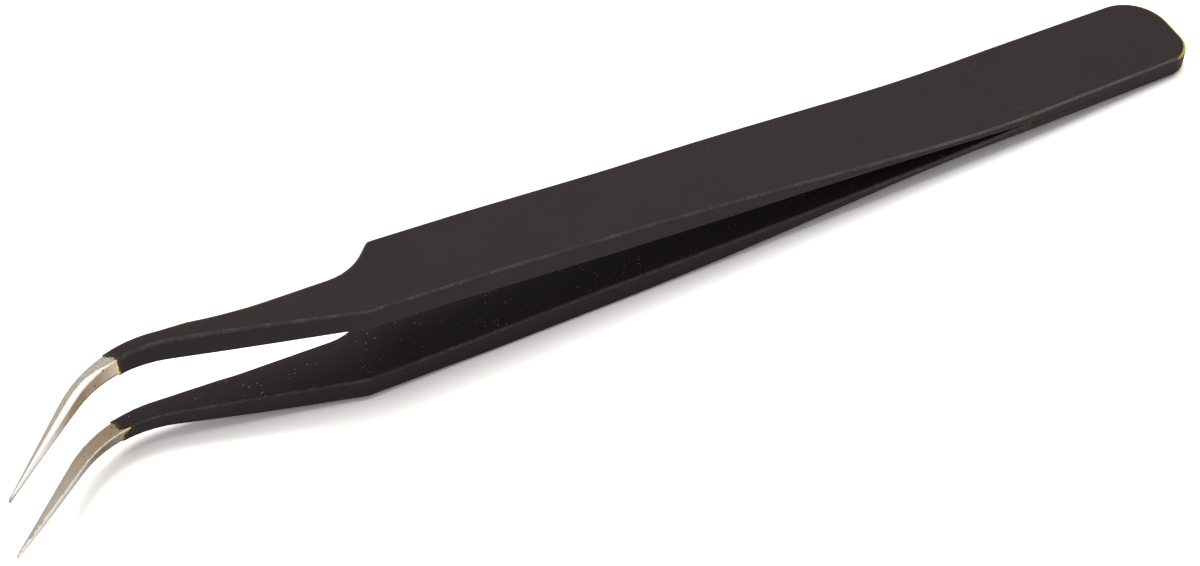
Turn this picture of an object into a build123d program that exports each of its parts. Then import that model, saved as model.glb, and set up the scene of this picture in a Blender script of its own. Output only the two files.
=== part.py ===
from build123d import *
from math import atan2, degrees
import os

# Curved precision tweezers that lie on their side, in millimetres.
# Two ground steel blades are welded face to face at the tail and spring apart
# towards the points. A thin baked coating covers both of them, and stops short
# of the curved points, which stay bare.
#
# The blades are drawn about the flat plane between them, with the tail end at
# X = 0 and the points towards -X, and then laid down as they rest on a table.
# "From the tail" is a length along the blade, "near" and "far" are its two long
# edges, at -Y and +Y, and "inner" and "outer" are its faces.

# Lengths along the handle, from the tail end
split_from_tail = 18.0
widest_from_tail = 19.0
spring_from_tail = 40.0
taper_from_tail = 50.0
waist_from_tail = 58.0
grip_flat_from_tail = 62.0
grip_flat_length = 9.0

# Lengths from there on: the neck starts at the shoulder, and the point at the hook
shoulder_past_grip = 9.1
notch_past_shoulder = 2.6
heel_past_shoulder = 3.3
dip_past_shoulder = 13.5
crest_past_shoulder = 14.9
neck_length = 24.4
hook_far_past_near = 1.3
bare_before_hook = 1.1
point_length = 12.5

# Outline of the blade, from its middle line to each edge
tail_near = -3.99
tail_far = 4.24
tail_slant = 0.5
widest_half_width = 4.37
taper_near = 3.88
waist_far = 3.5
shoulder_far = 4.0
notch_far = 2.15
dip_far = 2.44
hook_far = 3.12
heel_near = -3.02
hook_near = 1.92
point_near = -7.43
point_width = 0.36
tail_near_radius = 2.2
tail_far_radius = 4.3
side_radius = 150.0
notch_radius = 5.3
dip_radius = 50.0
hook_far_radius = 12.0
hook_near_radius = 10.6

# The ground walls of the neck lean: from the foot of the lean, just under the
# inner face, to the crest of the outer face each corner of the outline moves
# this far towards +Y
lean_margin = 0.23
lean_at_notch = -0.75
lean_at_dip = -0.97
lean_at_hook_far = 0.42
lean_at_hook_near = 0.68

# Height of the outer face over the plane between the blades
tail_height = 1.0
spring_height = 2.7
grip_height = 4.99
shoulder_height = 5.61
crest_height = 5.83
hook_height = 5.46
point_height = 4.07

# Thickness of the steel, square to that plane
spring_thickness = 1.19
grip_thickness = 2.32
neck_thickness = 2.18
hook_thickness = 1.6
point_thickness = 0.3

# The inner faces are ground back this far where the weld ends
split_relief = 0.06

# Coating
coat_thickness = 0.12
coat_end_angle = 30.0

# Room past the form for the solids that shape it
cutting_margin = 1.0

# Worked out from the sizes above
grip_flat_end = grip_flat_from_tail + grip_flat_length
grip_from_tail = grip_flat_from_tail + grip_flat_length / 2
shoulder_from_tail = grip_flat_end + shoulder_past_grip
notch_from_tail = shoulder_from_tail + notch_past_shoulder
heel_from_tail = shoulder_from_tail + heel_past_shoulder
dip_from_tail = shoulder_from_tail + dip_past_shoulder
crest_from_tail = shoulder_from_tail + crest_past_shoulder
hook_near_from_tail = shoulder_from_tail + neck_length
hook_far_from_tail = hook_near_from_tail + hook_far_past_near
coat_end_from_tail = hook_near_from_tail - bare_before_hook
blade_length = hook_near_from_tail + point_length
highest = max(grip_height, shoulder_height, crest_height, hook_height) + cutting_margin
lean_foot = min(shoulder_height, crest_height) - neck_thickness - lean_margin
rest_slope = (grip_height - tail_height) / grip_from_tail
rest_angle = degrees(atan2(rest_slope, 1))


def grip_line(from_tail):
    """Height of the outer face along the flat that the tweezers rest on."""
    return grip_height + rest_slope * (from_tail - grip_from_tail)


def outline(level, skin):
    """Plan outline of one blade at a height, grown by a skin."""
    lean = max(0, (level - lean_foot) / (crest_height - lean_foot))
    corners = [
        (skin, tail_near - skin, tail_near_radius),
        (-widest_from_tail, -widest_half_width - skin, side_radius),
        (-taper_from_tail, -taper_near - skin, side_radius),
        (-heel_from_tail, heel_near - skin, 0),
        (-hook_near_from_tail, hook_near + lean * lean_at_hook_near - skin, hook_near_radius),
        (-blade_length, point_near - skin, 0),
        (-blade_length, point_near + point_width + skin, 0),
        (-hook_far_from_tail, hook_far + lean * lean_at_hook_far + skin, hook_far_radius),
        (-dip_from_tail, dip_far + lean * lean_at_dip + skin, dip_radius),
        (-notch_from_tail - skin, notch_far + lean * lean_at_notch + skin, notch_radius),
        (-shoulder_from_tail - skin, shoulder_far + skin, 0),
        (-waist_from_tail, waist_far + skin, side_radius),
        (-widest_from_tail, widest_half_width + skin, side_radius),
        (-tail_slant + skin, tail_far + skin, tail_far_radius),
    ]
    points = [(x, y) for x, y, radius in corners]
    radii = [radius for x, y, radius in corners]
    return Pos(0, 0, level) * make_face(FilletPolyline(*points, radius=radii, close=True))


def side_profile(skin):
    """Side view of one blade, in the XZ plane, grown by a skin."""
    def outer(from_tail, height):
        return (-from_tail, height + skin)

    def inner(from_tail, height, thickness):
        return (-from_tail, height - thickness - skin)

    tail_top = (skin, tail_height + skin)
    spring_start = outer(widest_from_tail, tail_height)
    flat_start = outer(grip_flat_from_tail, grip_line(grip_flat_from_tail))
    flat_end = outer(grip_flat_end, grip_line(grip_flat_end))
    spring = Spline(spring_start, outer(spring_from_tail, spring_height), flat_start,
                    tangents=[(-1, 0), (-1, rest_slope)])
    neck = Spline(flat_end, outer(shoulder_from_tail, shoulder_height), outer(crest_from_tail, crest_height),
                  outer(hook_near_from_tail, hook_height), outer(blade_length, point_height))
    point_bottom = inner(blade_length, point_height, point_thickness)
    split = (-split_from_tail, split_relief - skin)
    weld_end = (-split_from_tail, -skin)
    inside = Spline(point_bottom, inner(hook_near_from_tail, hook_height, hook_thickness),
                    inner(crest_from_tail, crest_height, neck_thickness),
                    inner(shoulder_from_tail, shoulder_height, neck_thickness),
                    inner(grip_from_tail, grip_height, grip_thickness),
                    inner(spring_from_tail, spring_height, spring_thickness), split)
    edges = [
        Line(tail_top, spring_start),
        spring,
        Line(flat_start, flat_end),
        neck,
        Line(neck @ 1, point_bottom),
        inside,
        Line(split, weld_end),
        Line(weld_end, (skin, -skin)),
        Line((skin, -skin), tail_top),
    ]
    return Plane.XZ * make_face(Curve() + edges)


def blade_form(skin):
    """One blade, or one blade with its coating, where the plan and the side view meet."""
    foot = outline(lean_foot, skin)
    upright_walls = extrude(foot, amount=-lean_foot - cutting_margin)
    leaning_walls = loft([foot, outline(highest, skin)], ruled=True)
    width = 2 * (widest_half_width + abs(point_near))
    faces = extrude(Pos(0, width / 2, 0) * side_profile(skin), amount=width)
    return (upright_walls + leaning_walls) & faces


def coated_arm():
    """Outer shape of the upper blade with its coating, from the plane between the
    blades up, and from the tail to where the coating ends."""
    reach = 2 * blade_length
    kept = Box(reach, reach, reach, align=(Align.MIN, Align.CENTER, Align.MIN))
    coat_end = Pos(-coat_end_from_tail, 0, 0) * Rot(0, 0, coat_end_angle)
    return blade_form(coat_thickness) & (coat_end * kept)


def coating(blade):
    """One skin over both welded blades: half of it around the upper blade, and its mirror."""
    half = coated_arm() - blade
    return half + mirror(half, about=Plane.XY)


def laid_down(pieces):
    """Turn the pieces until the lower blade rests on Z = 0, and centre them there."""
    turned = [Rot(0, rest_angle, 0) * piece for piece in pieces]
    box = Compound(turned).bounding_box()
    middle = box.center()
    return [Pos(-middle.X, -middle.Y, -box.min.Z) * piece for piece in turned]


upper_blade = blade_form(0)
lower_blade = mirror(upper_blade, about=Plane.XY)
skin = coating(upper_blade)

os.makedirs("parts", exist_ok=True)
names = ["upper_blade", "lower_blade", "coating"]
for name, piece in zip(names, laid_down([upper_blade, lower_blade, skin])):
    export_step(piece, f"parts/{name}.step")
    box = piece.bounding_box()
    print(name, round(piece.volume, 2), "mm3, solids:", len(piece.solids()), box)
print("rest angle", round(rest_angle, 3))
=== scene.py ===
# %% [markdown]
# # Curved precision tweezers on a white table
# Two ground steel blades are welded together at the tail and spring apart
# towards curved needle points. A thin black coating is baked over both, and
# stops short of the points. The blades and the coating come from a CAD model,
# in metres, and this lesson gives them their finish, their wear, a table, a
# light and a camera.

# %% Load the fixed frame
import bmesh
import bpy
from math import cos, pi, radians, sin
from mathutils import Matrix, Vector, noise


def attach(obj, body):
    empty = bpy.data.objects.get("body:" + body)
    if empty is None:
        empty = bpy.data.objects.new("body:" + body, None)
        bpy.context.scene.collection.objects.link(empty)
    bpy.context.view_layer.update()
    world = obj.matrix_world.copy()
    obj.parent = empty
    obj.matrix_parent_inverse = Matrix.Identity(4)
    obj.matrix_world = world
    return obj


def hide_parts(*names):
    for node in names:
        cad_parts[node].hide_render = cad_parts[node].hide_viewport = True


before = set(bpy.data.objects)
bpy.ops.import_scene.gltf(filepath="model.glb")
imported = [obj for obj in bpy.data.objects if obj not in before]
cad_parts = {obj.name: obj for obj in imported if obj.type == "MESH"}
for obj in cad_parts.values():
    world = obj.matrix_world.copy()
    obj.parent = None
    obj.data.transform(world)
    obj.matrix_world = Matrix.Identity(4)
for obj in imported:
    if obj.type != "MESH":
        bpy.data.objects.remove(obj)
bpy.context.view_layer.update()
print("pieces of the frame:", sorted(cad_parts))

# %% [markdown]
# The tweezers lie on their side, tilted a few degrees, because the lower blade
# rests on its tail and on the flat of its grip. Every detail of a blade is
# easier to place along the blade itself. So one matrix carries points from the
# blades' own frame, in millimetres, to the table. There the tail end is at
# X = 0, the points lie towards -X, Y runs across, and Z = 0 is the plane
# between the two blades.

# %% The blades' own frame
lie_angle = radians(3.4336)
tail_on_table = Vector((0.058489, 0.001476, 0.001118))
point_of_blade = Vector((-117, -7.4, 4))
millimetre = 0.001

to_table = (Matrix.Translation(tail_on_table)
            @ Matrix.Rotation(lie_angle, 4, "Y")
            @ Matrix.Scale(millimetre, 4))
to_blade = to_table.inverted()
print("the points reach", round((to_table @ point_of_blade).x, 4), "m")

# %% [markdown]
# ## A small language for materials
# A node tree is easier to read when its sums look like sums. The class below
# wraps an output socket, and each operator adds a Math node. Every other node
# comes from one method that takes the node's type, its settings and what goes
# into its sockets.

# %% Wires and materials
class Wire:
    """An output socket of a material. A sum written with it adds Math nodes."""

    def __init__(self, look, socket):
        self.look = look
        self.socket = socket

    def math(self, operation, *values):
        return self.look.node("ShaderNodeMath", {"operation": operation}, list(values))

    def __add__(self, other):
        return self.math("ADD", self, other)

    def __radd__(self, other):
        return self.math("ADD", other, self)

    def __sub__(self, other):
        return self.math("SUBTRACT", self, other)

    def __rsub__(self, other):
        return self.math("SUBTRACT", other, self)

    def __mul__(self, other):
        return self.math("MULTIPLY", self, other)

    def __rmul__(self, other):
        return self.math("MULTIPLY", other, self)

    def __truediv__(self, other):
        return self.math("DIVIDE", self, other)

    def size(self):
        return self.math("ABSOLUTE", self)

    def sign(self):
        return self.math("SIGN", self)

    def root(self):
        return self.math("SQRT", self)

    def above(self, limit):
        return self.math("GREATER_THAN", self, limit)

    def larger(self, other):
        return self.math("MAXIMUM", self, other)

    def other(self, name):
        """Another output of the same node."""
        return Wire(self.look, self.socket.node.outputs[name])


class Look:
    """A material, or the world, and the nodes in it."""

    def __init__(self, owner):
        owner.use_nodes = True
        self.owner = owner
        self.tree = owner.node_tree
        self.tree.nodes.clear()

    def node(self, kind, settings=None, inputs=(), output=0):
        node = self.tree.nodes.new(kind)
        for name, value in (settings or {}).items():
            setattr(node, name, value)
        pairs = inputs.items() if isinstance(inputs, dict) else enumerate(inputs)
        for name, value in pairs:
            if isinstance(value, Wire):
                self.tree.links.new(value.socket, node.inputs[name])
            else:
                node.inputs[name].default_value = value
        return Wire(self, node.outputs[output]) if node.outputs else node

    def between(self, value, low, high):
        """0 at low and 1 at high, with a smooth ramp between them. Low may be the larger one."""
        return self.node("ShaderNodeMapRange", {"interpolation_type": "SMOOTHSTEP"},
                         {"Value": value, "From Min": low, "From Max": high})

    def line(self, value, low, high, at_low, at_high):
        """A straight ramp from one amount to another, which stays level past its ends."""
        return self.node("ShaderNodeMapRange", None,
                         {"Value": value, "From Min": low, "From Max": high,
                          "To Min": at_low, "To Max": at_high})

    def mix(self, share, first, second):
        """The first colour where share is 0, and the second where it is 1."""
        return self.node("ShaderNodeMix", {"data_type": "RGBA"}, {0: share, 6: first, 7: second}, output=2)

    def grain(self, place, scale, detail=2.0, roughness=0.5):
        """Cloudy noise from 0 to 1, with a number of clouds to the millimetre."""
        return self.node("ShaderNodeTexNoise", None,
                         {"Vector": place, "Scale": scale, "Detail": detail, "Roughness": roughness})

    def cells(self, place, scale):
        """Distance from the middle of the nearest of many small cells."""
        return self.node("ShaderNodeTexVoronoi", None, {"Vector": place, "Scale": scale}, output="Distance")

    def give_to(self, pieces):
        for piece in pieces:
            piece.data.materials.clear()
            piece.data.materials.append(self.owner)


def colour(red, green, blue):
    return (red, green, blue, 1.0)


# %% [markdown]
# Both finishes need the same facts about a point of the surface: where it lies
# on the blade, in millimetres, and which way it faces. A Mapping node turns
# Object coordinates into the blades' own frame. The upward share of the normal
# is near 1 on the broad faces and near 0 on the walls, so the values between
# them belong to the rounded ridges.

# %% Where a point lies on the blade, and which way it faces
def blade_place(look):
    object_place = look.node("ShaderNodeTexCoord", output="Object")
    return look.node("ShaderNodeMapping", {"vector_type": "POINT"},
                     {"Vector": object_place, "Location": to_blade.translation,
                      "Rotation": to_blade.to_euler(),
                      "Scale": (1 / millimetre,) * 3})


def lengths_of(look, place):
    along = look.node("ShaderNodeSeparateXYZ", None, [place], output="X")
    return along, along.other("Y"), along.other("Z")


def facing(look, *axis):
    """How much the surface faces along an axis of the blades' own frame, from -1 to 1."""
    normal = look.node("ShaderNodeNewGeometry", output="Normal")
    on_table = to_table.to_3x3().normalized() @ Vector(axis)
    return look.node("ShaderNodeVectorMath", {"operation": "DOT_PRODUCT"}, [normal, on_table], output="Value")


# %% [markdown]
# ## Rounded copies
# Ground steel and baked paint have no knife edges: every ridge is eased by a
# tenth to a third of a millimetre, and that strip is what catches the light. A
# Bevel modifier could round the ridges, but the end of the coating is cut up
# afterwards, so the rounding is done in the mesh. A copy of the CAD node is
# merged and its flat stretches are joined into large faces. So are the thin
# triangles of the neck's walls, which would fold over under a bevel. Then the
# outer ridges are bevelled.

# %% Round the ridges of a copy
merge_distance = 0.0005
flat_fold = radians(0.5)
wall_fold = radians(5)
wall_slope = 0.6
neck_from_tail = 84.0
ridge_fold = radians(35)
smooth_fold = radians(38)


def copy_of(node):
    """A merged copy of a node's mesh, in the blades' own frame."""
    bm = bmesh.new()
    bm.from_mesh(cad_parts[node].data)
    bm.transform(to_blade)
    bmesh.ops.remove_doubles(bm, verts=bm.verts, dist=merge_distance)
    bmesh.ops.dissolve_limit(bm, angle_limit=flat_fold, verts=bm.verts, edges=bm.edges)
    neck_walls = []
    for edge in bm.edges:
        on_neck = edge.is_manifold and edge.verts[0].co.x < -neck_from_tail
        if on_neck and all(abs(face.normal.z) < wall_slope for face in edge.link_faces):
            neck_walls.append(edge)
    bmesh.ops.dissolve_limit(bm, angle_limit=wall_fold, verts=[], edges=neck_walls)
    return bm


def round_ridges(bm, radius, kept_sharp):
    """Bevel the outward ridges, apart from those whose middle is kept sharp."""
    ridges = []
    for edge in bm.edges:
        middle = (edge.verts[0].co + edge.verts[1].co) / 2
        if edge.is_manifold and edge.calc_face_angle_signed() > ridge_fold and not kept_sharp(middle):
            ridges.append(edge)
    bmesh.ops.bevel(bm, geom=ridges, offset=radius, offset_type="OFFSET", segments=3,
                    profile=0.5, affect="EDGES", clamp_overlap=False, material=-1)
    print("rounded", len(ridges), "ridge edges")


def smooth(bm):
    """Smooth faces, with the edges between them kept sharp where they fold."""
    for face in bm.faces:
        face.smooth = True
    for edge in bm.edges:
        edge.smooth = edge.is_manifold and edge.calc_face_angle(0) < smooth_fold


def piece_from(bm, name, node):
    """A piece that stands for a node of the frame."""
    mesh = bpy.data.meshes.new(name)
    bm.transform(to_table)
    bm.to_mesh(mesh)
    bm.free()
    piece = bpy.data.objects.new(name, mesh)
    bpy.context.scene.collection.objects.link(piece)
    piece.modifiers.new("even shading", "WEIGHTED_NORMAL").keep_sharp = True
    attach(piece, "root")
    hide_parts(node)
    print(name, "has", len(mesh.polygons), "faces")
    return piece


# %% [markdown]
# The blades are seen only where they are bare. Their ridges there are crisp, so
# they are eased by less than the coating's.

# %% The two blades
steel_ease = 0.11
bare_from_tail = 100.0


def under_coating(point):
    return point.x > -bare_from_tail


blades = []
for name in ("upper_blade", "lower_blade"):
    bm = copy_of(name)
    round_ridges(bm, steel_ease, under_coating)
    smooth(bm)
    blades.append(piece_from(bm, "ground_" + name, name))

# %% [markdown]
# ## The coating
# The coating is a thin layer of baked paint, about a tenth of a millimetre
# thick. On the real tweezers its end isn't a clean step: the paint has pulled
# back, chipped and left small beads. The end could be painted on with a mask,
# but the edge of a layer catches the light, so here the mesh itself is ragged.
# First its ridges are rounded, and then it is cut into fine cells near its end.
# Each point keeps its distance from the end in an attribute, for the material.

# %% Round the coating and cut its end into cells
coat_end_from_tail = 103.4
coat_end_angle = radians(30)
paint_ease = 0.32
end_zone = 2.2
cell = 0.11
cut_tolerance = 0.002
near_side_of_neck = 0.6
width_of_neck = 3.6
inside_of_arm = 3.4
height_of_arm = 2.6
end_normal = Vector((cos(coat_end_angle), sin(coat_end_angle), 0))
end_centre = Vector((-coat_end_from_tail, 0, 0))
across = Vector((0, 1, 0))
upwards = Vector((0, 0, 1))


def past_end(point):
    """Distance from the plane where the coating ends, into the coating."""
    return (point - end_centre).dot(end_normal)


def at_end(point):
    return past_end(point) < cell


def cut(bm, centre, normal):
    """Cut the end zone along one plane."""
    faces = [face for face in bm.faces if past_end(face.calc_center_median()) < end_zone]
    edges = {edge for face in faces for edge in face.edges}
    points = {vertex for face in faces for vertex in face.verts}
    bmesh.ops.bisect_plane(bm, geom=faces + list(edges) + list(points), dist=cut_tolerance,
                           plane_co=centre, plane_no=normal)


bm = copy_of("coating")
round_ridges(bm, paint_ease, at_end)
bmesh.ops.bisect_plane(bm, geom=bm.verts[:] + bm.edges[:] + bm.faces[:], dist=cut_tolerance,
                       plane_co=end_centre + end_normal * end_zone, plane_no=end_normal)
for step in range(1, int(end_zone / cell)):
    cut(bm, end_centre + end_normal * step * cell, end_normal)
for step in range(int(width_of_neck / cell)):
    cut(bm, across * (near_side_of_neck + step * cell), across)
for step in range(int(height_of_arm / cell)):
    level = inside_of_arm + step * cell
    cut(bm, upwards * level, upwards)
    cut(bm, upwards * -level, upwards)
into_coat = bm.verts.layers.float.new("into_coat")
for vertex in bm.verts:
    vertex[into_coat] = min(past_end(vertex.co), end_zone)
print("coating:", len(bm.verts), "points after the cuts")

# %% [markdown]
# Each point near the end then slides along the blade, by an amount that changes
# around the blade. Noise gives the small teeth, and a few marks give the chip
# and the notches that the real end shows. The slide fades out over the end
# zone, so the cells stretch and never cross. The broad outer face falls a
# little towards the point, and the points on it follow that slope.

# %% Slide the end into a ragged line
neck_turn = radians(13)
along_blade = Vector((cos(neck_turn), sin(neck_turn), 0))
inner_face_height = 3.8
arm_thickness = 1.7
outer_slope = 0.07

even_retreat = 0.02
teeth_scale, teeth_depth = 1.9, 0.10
fine_scale, fine_depth = 5.5, 0.11
teeth_seed = {"upper": 3.0, "lower": 9.0}
fine_seed = {"upper": 5.0, "lower": 7.0}

# A mark says how far the paint has pulled back (less than 0 where a tongue of it
# is left), where it is across the blade and how far it reaches, and the same
# for its height
marks = {
    "upper": [
        (0.20, 1.75, 0.28, 5.6, 0.9),
        (-0.26, 2.30, 0.40, 5.6, 0.9),
    ],
    "lower": [
        (0.95, 1.12, 0.34, -4.05, 0.60),
        (-0.20, 1.50, 0.30, -3.9, 0.6),
        (-0.34, 1.1, 0.5, -5.9, 0.6),
    ],
}


def hump(value, middle, width):
    """1 at the middle, falling to 0 a width away on either side."""
    share = max(0.0, 1 - abs(value - middle) / width)
    return share * share * (3 - 2 * share)


def jitter(point, scale, seed):
    return noise.noise(Vector((point.y * scale, point.z * scale, seed)))


def retreat(point):
    """How far the coating has pulled back at a point of its end."""
    arm = "upper" if point.z > 0 else "lower"
    teeth = jitter(point, teeth_scale, teeth_seed[arm])
    fine = jitter(point, fine_scale, fine_seed[arm])
    amount = even_retreat + teeth_depth * teeth + fine_depth * fine
    for depth, middle, width, height, reach in marks[arm]:
        amount += depth * hump(point.y, middle, width) * hump(point.z, height, reach)
    return amount


for vertex in bm.verts:
    inside = past_end(vertex.co)
    if inside < end_zone:
        shift = retreat(vertex.co) * (1 - inside / end_zone)
        vertex.co += along_blade * shift
        share = max(0.0, (abs(vertex.co.z) - inner_face_height) / arm_thickness)
        lift = share * outer_slope * shift
        vertex.co.z += lift if vertex.co.z > 0 else -lift

# %% [markdown]
# Paint that dries at an edge gathers in a bead. The points of the outer skin
# close to the end move out along their normals, a little and unevenly.

# %% Thicken the last of the paint
bead_width = 0.40
bead_height = 0.07
bead_least, bead_change, bead_scale = 0.4, 1.3, 2.5
arm_middle = Vector((0, 1.9, 4.75))
bm.normal_update()
for vertex in bm.verts:
    inside = vertex[into_coat]
    away = Vector((0, vertex.co.y - arm_middle.y, abs(vertex.co.z) - arm_middle.z))
    outward = Vector((0, vertex.normal.y, vertex.normal.z * (1 if vertex.co.z > 0 else -1)))
    if inside < bead_width and away.dot(outward) > 0:
        uneven = max(0.0, bead_least + bead_change * noise.noise(vertex.co * bead_scale))
        fade = 1 - max(0.0, inside) / bead_width
        vertex.co += vertex.normal * bead_height * uneven * fade

smooth(bm)
baked_coating = piece_from(bm, "baked_coating", "coating")

# %% [markdown]
# The paint is nearly black, warm and satin. Its ridges carry a grey-brown line
# with small breaks, which is partly rubbed paint and partly a painted highlight,
# and towards the tail that line is made brighter as a painted highlight. Its broad
# faces carry a fine orange peel and a sprinkle of dust specks, most of them inside
# the gap, where nothing wipes them off. Masks find these places: from the
# surface's direction, from cloudy noise and from small cells.

# %% Where the coating is worn, and where it gets painted highlights
paint = Look(bpy.data.materials.new("baked black paint"))
place = blade_place(paint)
x, y, z = lengths_of(paint, place)
upward = facing(paint, 0, 0, 1)
flatness = upward.size()
inner = paint.between(upward * z.sign(), -0.80, -0.92)

# The ridge line is partly wear and partly a painted highlight; the extra share near the tail is a painted
# highlight only.
ridge = paint.between(flatness, 0.16, 0.45) * paint.between(flatness, 0.994, 0.92)
rubbed = paint.between(paint.grain(place, 0.5, 3.0, 0.65), 0.40, 0.60)
broken = paint.between(paint.grain(place, 3.6, 3.0, 0.7), 0.36, 0.56)
near_tail = paint.between(x, -48.0, -14.0)
always_worn_and_lit, worn_in_places, painted_tail_highlight = 0.20, 0.35, 0.45
wear_and_ridge_highlight = ridge * (always_worn_and_lit + worn_in_places * rubbed * broken + painted_tail_highlight * near_tail)

dust_outside = 0.06
dusty = paint.between(paint.grain(place, 0.30), 0.36, 0.66) * (dust_outside + (1 - dust_outside) * inner)
dust = paint.cells(place, 2.6)
specks = paint.between(dust, 0.24, 0.09) * dust.other("Color").above(0.56) * dusty

scuffs_away_from_tail = 0.35
scuffed = scuffs_away_from_tail + (1 - scuffs_away_from_tail) * near_tail
scuffed = paint.between(paint.grain(place, 0.12, 1.0), 0.46, 0.60) * scuffed
scuffs = paint.between(paint.grain(place, 1.1, 5.0, 0.75), 0.58, 0.78) * scuffed

# %% [markdown]
# A few places have marks of their own. A dark seam runs along the near wall
# where the arms meet, with a brown stain where they part. The paint is thin
# enough to look golden on the rim of the tail, and amber at its ragged end,
# where the attribute says how near the end is.

# %% The seam, the stain and the thin paint
seam = paint.between(z.size(), 0.12, 0.03) * paint.between(x, -7.0, -13.0)

arms_part = Vector((-18.4, -4.4, 0.1))
from_stain = paint.node("ShaderNodeVectorMath", {"operation": "DISTANCE"}, [place, arms_part], output="Value")
stain = paint.between(from_stain, 0.80, 0.30) * paint.between(paint.grain(place, 2.2), 0.35, 0.60)

tail_rim = paint.between(facing(paint, 1, 0, 0), 0.08, 0.26) * paint.between(flatness, 0.10, 0.35)
tail_rim = tail_rim * paint.between(x, -6.0, -4.4)

inset = paint.node("ShaderNodeAttribute", {"attribute_name": "into_coat"}, output="Fac")
thin_end = paint.between(inset, 0.17, 0.02) * paint.between(paint.grain(place, 2.6), 0.30, 0.62)

# %% The finish of the coating
darkest_paint = colour(0.0232, 0.0172, 0.0164)
lightest_paint = colour(0.0340, 0.0268, 0.0260)
scuff_grey = colour(0.20, 0.18, 0.165)
wear_and_highlight_grey = colour(0.185, 0.165, 0.158)
dust_tan = colour(0.42, 0.29, 0.20)
seam_black = colour(0.002, 0.0015, 0.0015)
stain_brown = colour(0.110, 0.060, 0.035)
rim_gold = colour(0.80, 0.50, 0.10)
thin_amber = colour(0.120, 0.062, 0.012)

base = paint.mix(paint.grain(place, 0.16, 4.0, 0.6), darkest_paint, lightest_paint)
for share, tint in (
        (scuffs * 0.22, scuff_grey),
        # wear and painted highlight along the ridges
        (wear_and_ridge_highlight * 0.66, wear_and_highlight_grey),
        (specks * 0.95, dust_tan),
        (seam * 0.9, seam_black),
        (stain * 0.7, stain_brown),
        (tail_rim * 0.85, rim_gold),
        (thin_end * 0.85, thin_amber)):
    base = paint.mix(share, base, tint)

satin = 0.46 + 0.16 * paint.grain(place, 1.3, 4.0, 0.6) - 0.08 * wear_and_ridge_highlight
peel = paint.grain(place, 7.0, 3.0, 0.6)
relief = paint.node("ShaderNodeBump", None, {"Strength": 0.14, "Distance": 0.00003, "Height": peel})
shell = paint.node("ShaderNodeBsdfPrincipled", None,
                   {"Base Color": base, "Specular IOR Level": 0.15, "Roughness": satin, "Normal": relief})
paint.node("ShaderNodeOutputMaterial", None, [shell])
paint.give_to([baked_coating])

# %% [markdown]
# ## The bare steel
# The points are ground steel. The broad outer face has a polished strip along
# its near edge, and the bright reflection in it is painted in as a near-white
# colour. The strip starts thin at the coating and takes half of the face
# further on. It follows the blade round its bend, so its mask is the
# distance from the near edge: an arc round the bend's centre, and then a
# straight line. The near edges of the outer and the inner face differ, because
# the wall between them leans.

# %% Distances from the near edges
steel = Look(bpy.data.materials.new("ground steel"))
place = blade_place(steel)
x, y, z = lengths_of(steel, place)
from_tail = 0 - x
upward = facing(steel, 0, 0, 1)
outward = upward * z.sign()
outer = steel.between(outward, 0.80, 0.93)
inner = steel.between(outward, -0.80, -0.93)

bend_radius = 10.6


def from_near_edge(centre_from_tail, centre_across, turn):
    """Distance across the blade from its near edge, which bends and then runs straight."""
    east = from_tail - centre_from_tail
    north = y - centre_across
    on_arc = (east * east + north * north).root() - bend_radius
    on_line = north * cos(turn) - east * sin(turn) - bend_radius
    past_bend = (east * cos(turn) + north * sin(turn)).above(0.0)
    return on_arc + past_bend * (on_line - on_arc)


outer_edge = from_near_edge(102.06, -9.10, radians(-38.5))
inner_edge = from_near_edge(102.11, -9.53, radians(-36.8))

# %% [markdown]
# Fine scratches run along the blade, so the noise behind them is stretched that
# way. The walls keep the brown tint that heat and grinding leave. Towards the
# points it gives way to a painted reflection of the white table, later on the
# upper arm. The ridges that face the light get a painted highlight, and so does a
# broken strip beside them on the inner face. A line of painted shade runs along
# the lower edge of the upper point's near wall.

# %% Where the steel is polished and pitted, and where it gets painted highlights, reflections and shade
streak_place = steel.node("ShaderNodeCombineXYZ", None, [outer_edge * 8.0, from_tail * 0.5, z * 8.0])
streaks = steel.grain(streak_place, 1.0, 3.0, 0.6)
clouds = steel.grain(place, 1.3, 3.0, 0.6)
blotches = steel.grain(place, 3.2, 4.0, 0.65)
upper = z.above(0.0)
later_on_upper = 2.4
inner_to_point = steel.between(from_tail, 105.5, 113.0)
wall_to_point = steel.between(from_tail - later_on_upper * upper, 106.4, 110.6)
browned = steel.between(from_tail, 103.9, 106.2)

face_width = steel.line(from_tail, 109.3, 117.0, 1.07, 0.27)
strip_share = steel.line(from_tail, 104.3, 107.3, 0.02, 0.50) + 0.12 * (blotches - 0.5)
# Painted reflection: the polished strip is coloured near white.
polished_reflection = steel.between(outer_edge / face_width - strip_share, 0.04, -0.04)
blotched = steel.between(blotches, 0.50, 0.64) * steel.between(from_tail, 108.5, 105.5)

facing_light = steel.between(upward, 0.0, 0.2)
crest = steel.between(outward.size(), 0.30, 0.55) * steel.between(outward.size(), 0.99, 0.90)
lit_ridge = crest * facing_light
glints = steel.between(steel.grain(place, 2.0, 3.0), 0.36, 0.52)
# Painted highlight: a broken bright strip on the inner face beside the ridge.
inner_strip_highlight = inner * steel.between(inner_edge, 0.28, 0.16) * facing_light * glints
# Painted shade: a dark line along the lower edge of the upper point's near wall, which faces down.
low_edge_shade = steel.between(z, 4.18, 4.02) * (1 - inner) * upper

holes = steel.cells(place, 2.1)
pitted = (1 - outer) * steel.between(from_tail, 111.0, 107.0)
pits = steel.between(holes, 0.32, 0.15) * holes.other("Color").above(0.56) * pitted

past_coat = (from_tail - coat_end_from_tail) * cos(coat_end_angle) - y * sin(coat_end_angle)
fringe = steel.between(past_coat, 0.34, 0.16) * (1 - inner) * (1 - outer)

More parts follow.
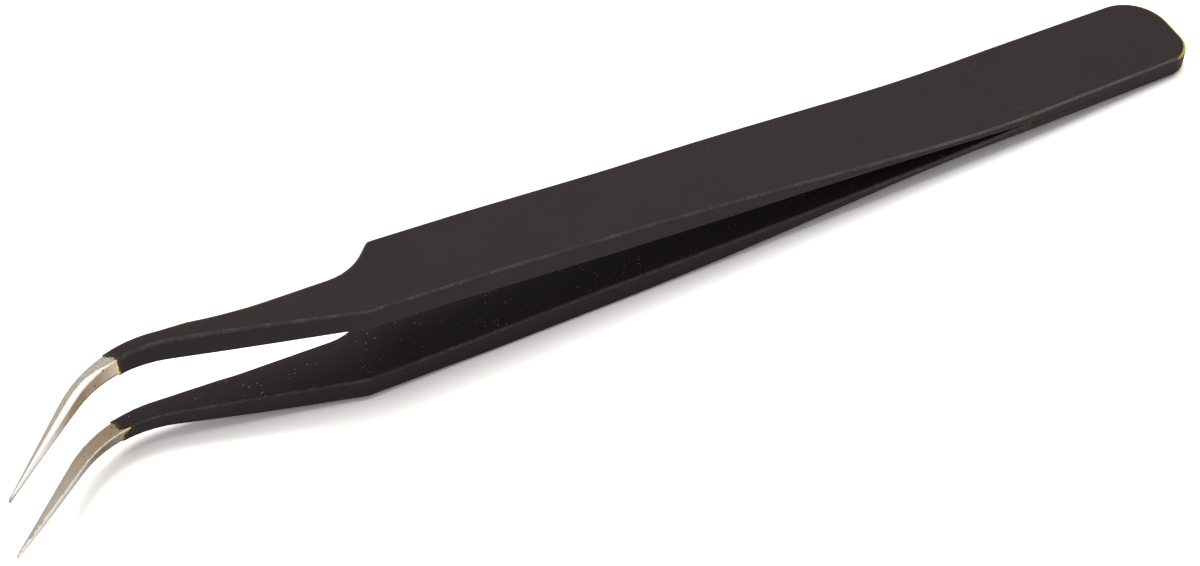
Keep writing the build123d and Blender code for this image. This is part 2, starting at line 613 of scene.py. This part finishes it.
# %% The finish of the steel
inner_tan = steel.mix(streaks, colour(0.22, 0.150, 0.080), colour(0.46, 0.350, 0.230))
inner_pale = steel.mix(streaks, colour(0.43, 0.375, 0.31), colour(0.63, 0.58, 0.51))
wall_pale = steel.mix(streaks, colour(0.52, 0.45, 0.37), colour(0.80, 0.73, 0.64))
wall_tan = steel.mix(streaks, colour(0.27, 0.185, 0.105), colour(0.56, 0.42, 0.28))
# A painted reflection of the white table on the walls near the points.
wall_reflection_white = steel.mix(streaks, colour(0.84, 0.79, 0.74), colour(0.98, 0.96, 0.94))
face_grey = steel.mix(streaks, colour(0.39, 0.345, 0.28), colour(0.60, 0.55, 0.48))
blotch_white = colour(0.86, 0.82, 0.74)
# The painted reflection in the polished strip.
reflection_white = colour(0.98, 0.98, 0.95)
cloud_brown = colour(0.36, 0.28, 0.19)
ridge_bright = colour(0.90, 0.84, 0.72)
strip_bright = colour(0.95, 0.90, 0.80)
# The painted shade on the low edge of the upper point.
shade_dark = colour(0.10, 0.085, 0.085)
pit_dark = colour(0.05, 0.035, 0.03)
fringe_gold = colour(0.80, 0.60, 0.22)

inner_face = steel.mix(inner_to_point * 0.9, inner_tan, inner_pale)
wall = steel.mix(browned, wall_pale, wall_tan)
# Towards the points the walls take the painted reflection of the table.
wall = steel.mix(wall_to_point, wall, wall_reflection_white)
outer_face = steel.mix(blotched * 0.6, face_grey, blotch_white)
# The polished strip gets its painted reflection here.
outer_face = steel.mix(polished_reflection, outer_face, reflection_white)
base = steel.mix(inner, wall, inner_face)
base = steel.mix(outer, base, outer_face)
for share, tint in (
        (clouds * 0.30 * (1 - polished_reflection * outer), cloud_brown),
        # painted highlights on the lit ridges and on the inner strip
        (lit_ridge * 0.85, ridge_bright),
        (inner_strip_highlight * 0.9, strip_bright),
        # painted shade on the low edge
        (low_edge_shade * 0.75, shade_dark),
        (pits * 0.8, pit_dark),
        (fringe * 0.75, fringe_gold)):
    base = steel.mix(share, base, tint)

sheen = 0.38 - 0.12 * polished_reflection + 0.15 * clouds
scratch = steel.node("ShaderNodeBump", None,
                     {"Strength": 0.22, "Distance": 0.00002, "Height": streaks - pits})
metal = steel.node("ShaderNodeBsdfPrincipled", None,
                   {"Base Color": base, "Metallic": 1.0, "Roughness": sheen, "Normal": scratch})
steel.node("ShaderNodeOutputMaterial", None, [metal])
steel.give_to(blades)

# %% [markdown]
# ## The table, the light and the camera
# The tweezers lie on a white table in soft light, with a shadow that fades to
# pure white within a few millimetres. Only the camera sees the table this
# light. To everything else it is plain white, so it throws no extra light back.

# %% Table
table_size = 3.0
table_top = -0.00003
table_glow = 0.03
plain_white = colour(0.86, 0.86, 0.86)
mirrored_white = colour(1.0, 1.0, 1.0)
white_to_camera = colour(1.90, 1.86, 1.82)

bm = bmesh.new()
bmesh.ops.create_grid(bm, x_segments=1, y_segments=1, size=table_size)
mesh = bpy.data.meshes.new("table")
bm.to_mesh(mesh)
bm.free()
mesh.transform(Matrix.Translation((0, 0, table_top)))
table = bpy.data.objects.new("table", mesh)
bpy.context.scene.collection.objects.link(table)

white = Look(bpy.data.materials.new("white table"))
to_camera = white.node("ShaderNodeLightPath", output="Is Camera Ray")
paper = white.mix(to_camera.other("Is Glossy Ray"), plain_white, mirrored_white)
paper = white.mix(to_camera, paper, white_to_camera)
matt = white.node("ShaderNodeBsdfDiffuse", None, {"Color": paper})
glow = white.node("ShaderNodeEmission", None, {"Color": mirrored_white, "Strength": to_camera * table_glow})
white.node("ShaderNodeOutputMaterial", None, [white.node("ShaderNodeAddShader", None, [matt, glow])])
white.give_to([table])

# %% [markdown]
# A large soft window stands above the tweezers and a little behind them, and
# the room gives the rest of the light. The two add up to an even white on the
# table. The camera and the reflections see the room as white.

# %% Light
ambient = 0.28
window_angle = radians(42)
light_from = Vector((0.0, 0.25, 0.965))

scene = bpy.context.scene
scene.view_settings.view_transform = "Standard"
scene.world = bpy.data.worlds.new("white room")
room = Look(scene.world)
to_camera = room.node("ShaderNodeLightPath", output="Is Camera Ray")
direct = to_camera.larger(to_camera.other("Is Glossy Ray"))
backdrop = room.node("ShaderNodeBackground", None,
                     {"Color": colour(1, 1, 1), "Strength": ambient + (1 - ambient) * direct})
room.node("ShaderNodeOutputWorld", None, [backdrop])

lamp = bpy.data.lights.new("soft window", "SUN")
lamp.energy = (1 - ambient) * pi
lamp.angle = window_angle
window = bpy.data.objects.new("soft window", lamp)
window.visible_glossy = False
window.rotation_mode = "QUATERNION"
window.rotation_quaternion = light_from.to_track_quat("Z", "Y")
scene.collection.objects.link(window)

# %% Camera
azimuth = radians(-26.973)
elevation = radians(52.068)
roll = radians(-0.5155)
target = Vector((-0.003350, -0.002961, 0.004828))
distance = 0.3028
focal_length = 105
sensor_width = 36
nearest_seen = 0.01

back = Vector((sin(azimuth) * cos(elevation), -cos(azimuth) * cos(elevation), sin(elevation)))
level_camera = (-back).to_track_quat("-Z", "Y")
eye = bpy.data.cameras.new("camera")
eye.lens = focal_length
eye.sensor_width = sensor_width
eye.clip_start = nearest_seen
camera = bpy.data.objects.new("camera", eye)
camera.location = target + back * distance
camera.rotation_mode = "QUATERNION"
camera.rotation_quaternion = level_camera @ Matrix.Rotation(roll, 3, "Z").to_quaternion()
scene.collection.objects.link(camera)
scene.camera = camera
